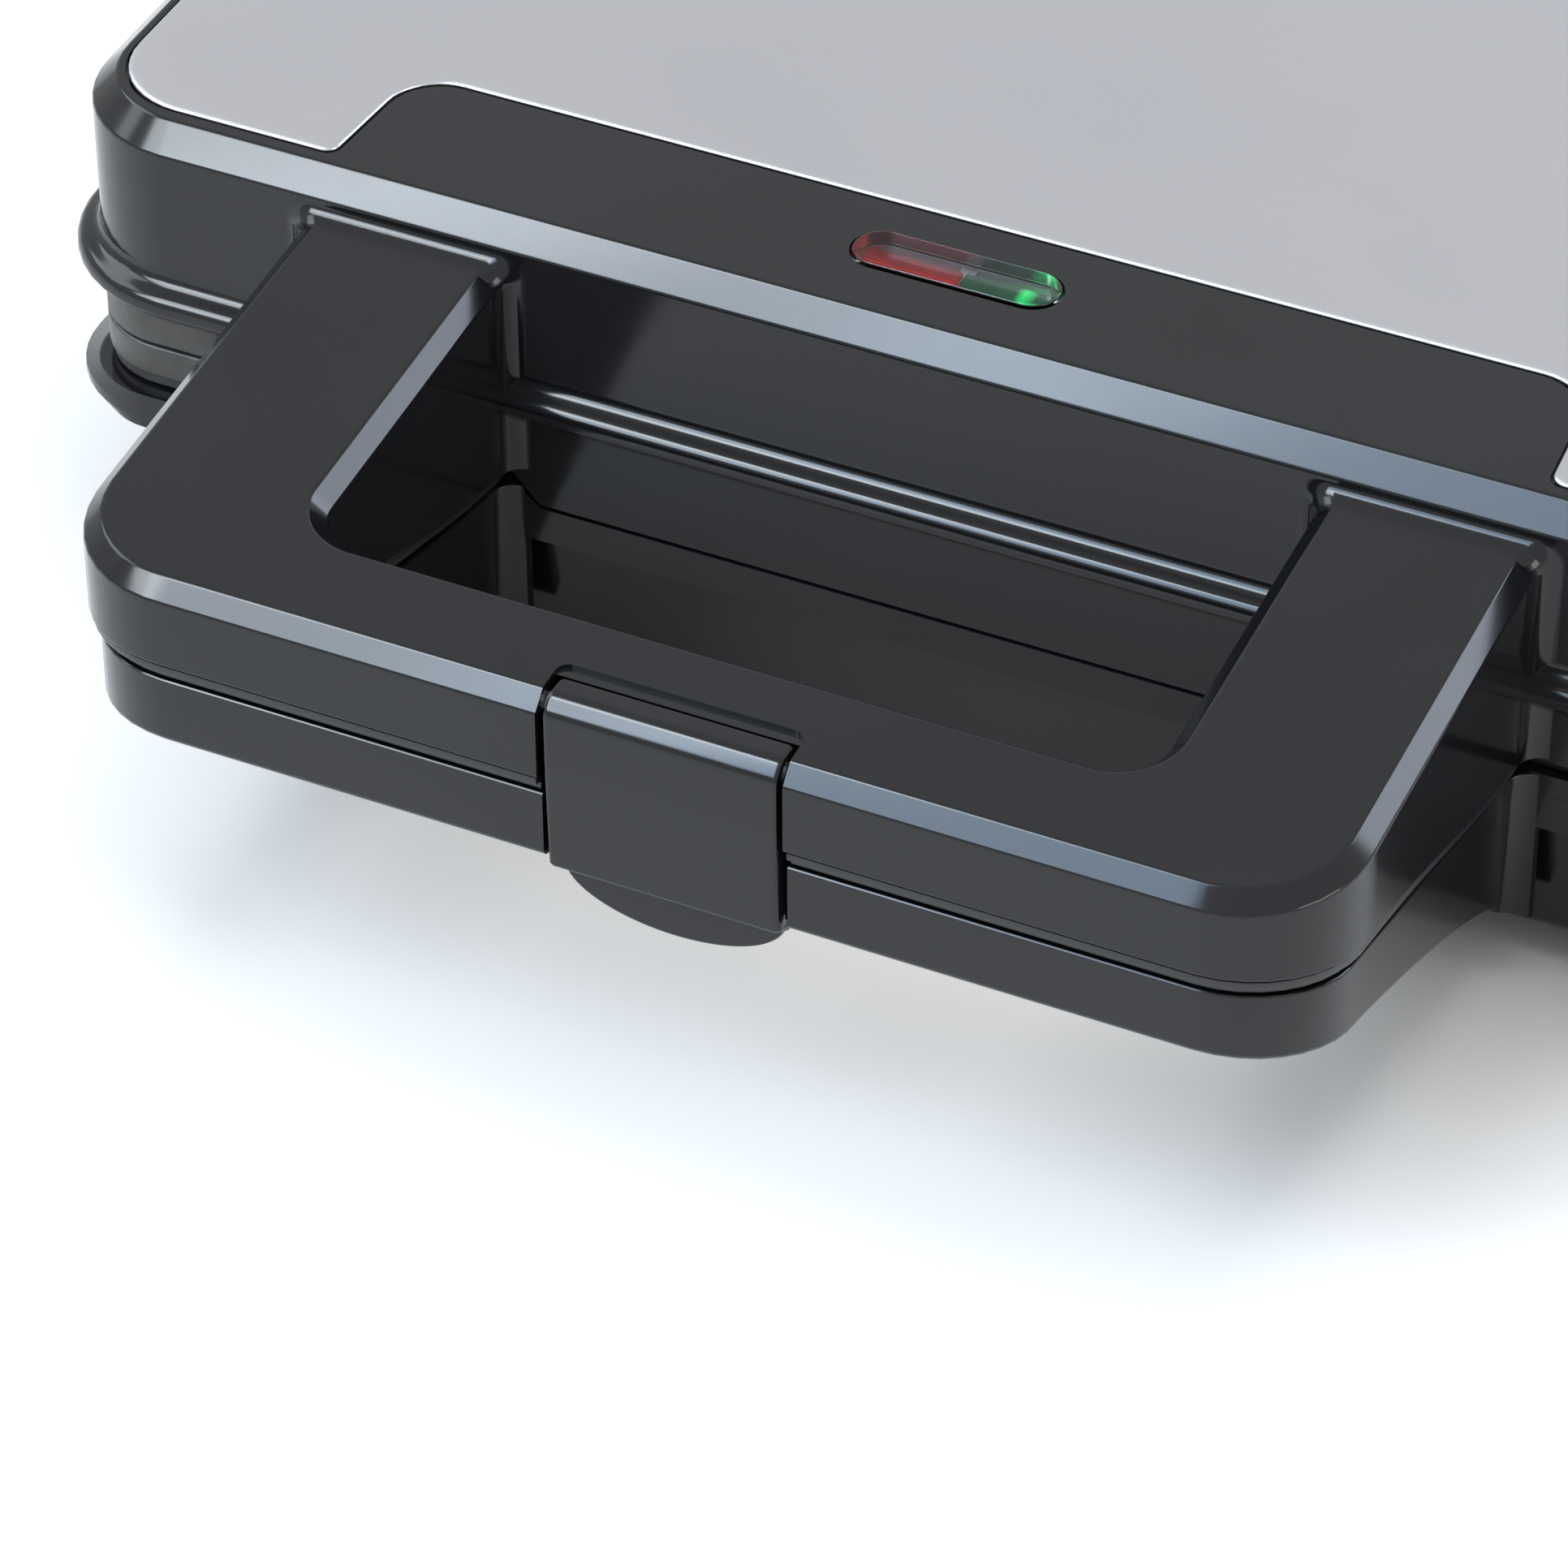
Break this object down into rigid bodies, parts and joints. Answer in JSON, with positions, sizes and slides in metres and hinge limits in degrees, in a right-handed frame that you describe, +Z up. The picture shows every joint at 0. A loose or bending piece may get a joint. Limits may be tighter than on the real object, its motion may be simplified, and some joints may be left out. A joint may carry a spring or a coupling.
{
  "type": "donut maker",
  "caption": "Hinged clamshell appliance that bakes small ring cakes between two electrically heated plates, with a U-shaped front handle, a latch and indicator lamps.",
  "frame": {"origin": "on the surface that the feet stand on, under the middle of the object's box", "axes": "+Z up, +Y towards the hinge and cord boss at the back, -Y towards the handle and latch, +X to the right seen from the front"},
  "size_m": [0.2362, 0.2976, 0.0719],
  "materials": {
    "black_plastic": "moulded, satin gloss",
    "dark_plastic": "moulded, matt",
    "inlay_steel": "fine satin, rolled bright edge",
    "clear_lens": "clear, polished",
    "lamp_red": "red, lit",
    "lamp_green": "green",
    "pale_plastic": "heat-resistant, moulded",
    "sheet_aluminium": "bright rolled sheet",
    "coated_plate": "die-cast, non-stick coating with a fine grain",
    "zinc_steel": "zinc plated",
    "foot_rubber": "soft, matt"
  },
  "bodies": {
    "base": {"lower_housing": "black_plastic", "lower_handle_liner": "dark_plastic", "cord_gland": "dark_plastic", "terminal_block": "pale_plastic", "thermal_fuse": "pale_plastic", "lower_reflector": "sheet_aluminium", "rating_plate": "sheet_aluminium", "lower_plate": "coated_plate", "lower_heating_element": "zinc_steel", "thermostat": "zinc_steel", "base_screw_front_left": "zinc_steel", "base_screw_front_right": "zinc_steel", "base_screw_rear_left": "zinc_steel", "base_screw_rear_right": "zinc_steel", "lower_handle_screw_left": "zinc_steel", "lower_handle_screw_right": "zinc_steel", "foot_front_left": "foot_rubber", "foot_front_right": "foot_rubber", "foot_rear_left": "foot_rubber", "foot_rear_right": "foot_rubber"},
    "lid": {"upper_cover": "black_plastic", "top_inlay_panel": "inlay_steel", "indicator_lens": "clear_lens", "lamp_holder": "pale_plastic", "red_lamp": "lamp_red", "green_lamp": "lamp_green", "upper_handle_liner": "dark_plastic", "upper_reflector": "sheet_aluminium", "upper_heating_element": "zinc_steel", "upper_plate": "coated_plate", "latch_pin": "zinc_steel", "hinge_pin_left": "zinc_steel", "hinge_pin_right": "zinc_steel", "upper_screw_front_left": "zinc_steel", "upper_screw_front_right": "zinc_steel", "upper_screw_rear_left": "zinc_steel", "upper_screw_rear_right": "zinc_steel", "upper_handle_screw_left": "zinc_steel", "upper_handle_screw_right": "zinc_steel"},
    "latch": {"latch_clip": "black_plastic"}
  },
  "joints": [
    {"name": "lid_hinge", "type": "hinge", "parent": "base", "child": "lid", "pos_m": [0, 0.13635, 0.037], "axis": [-1, 0, 0], "range_deg": [0, 105]},
    {"name": "latch_pivot", "type": "hinge", "parent": "lid", "child": "latch", "pos_m": [0, -0.14525, 0.0573], "axis": [-1, 0, 0], "range_deg": [0, 30]}
  ]
}
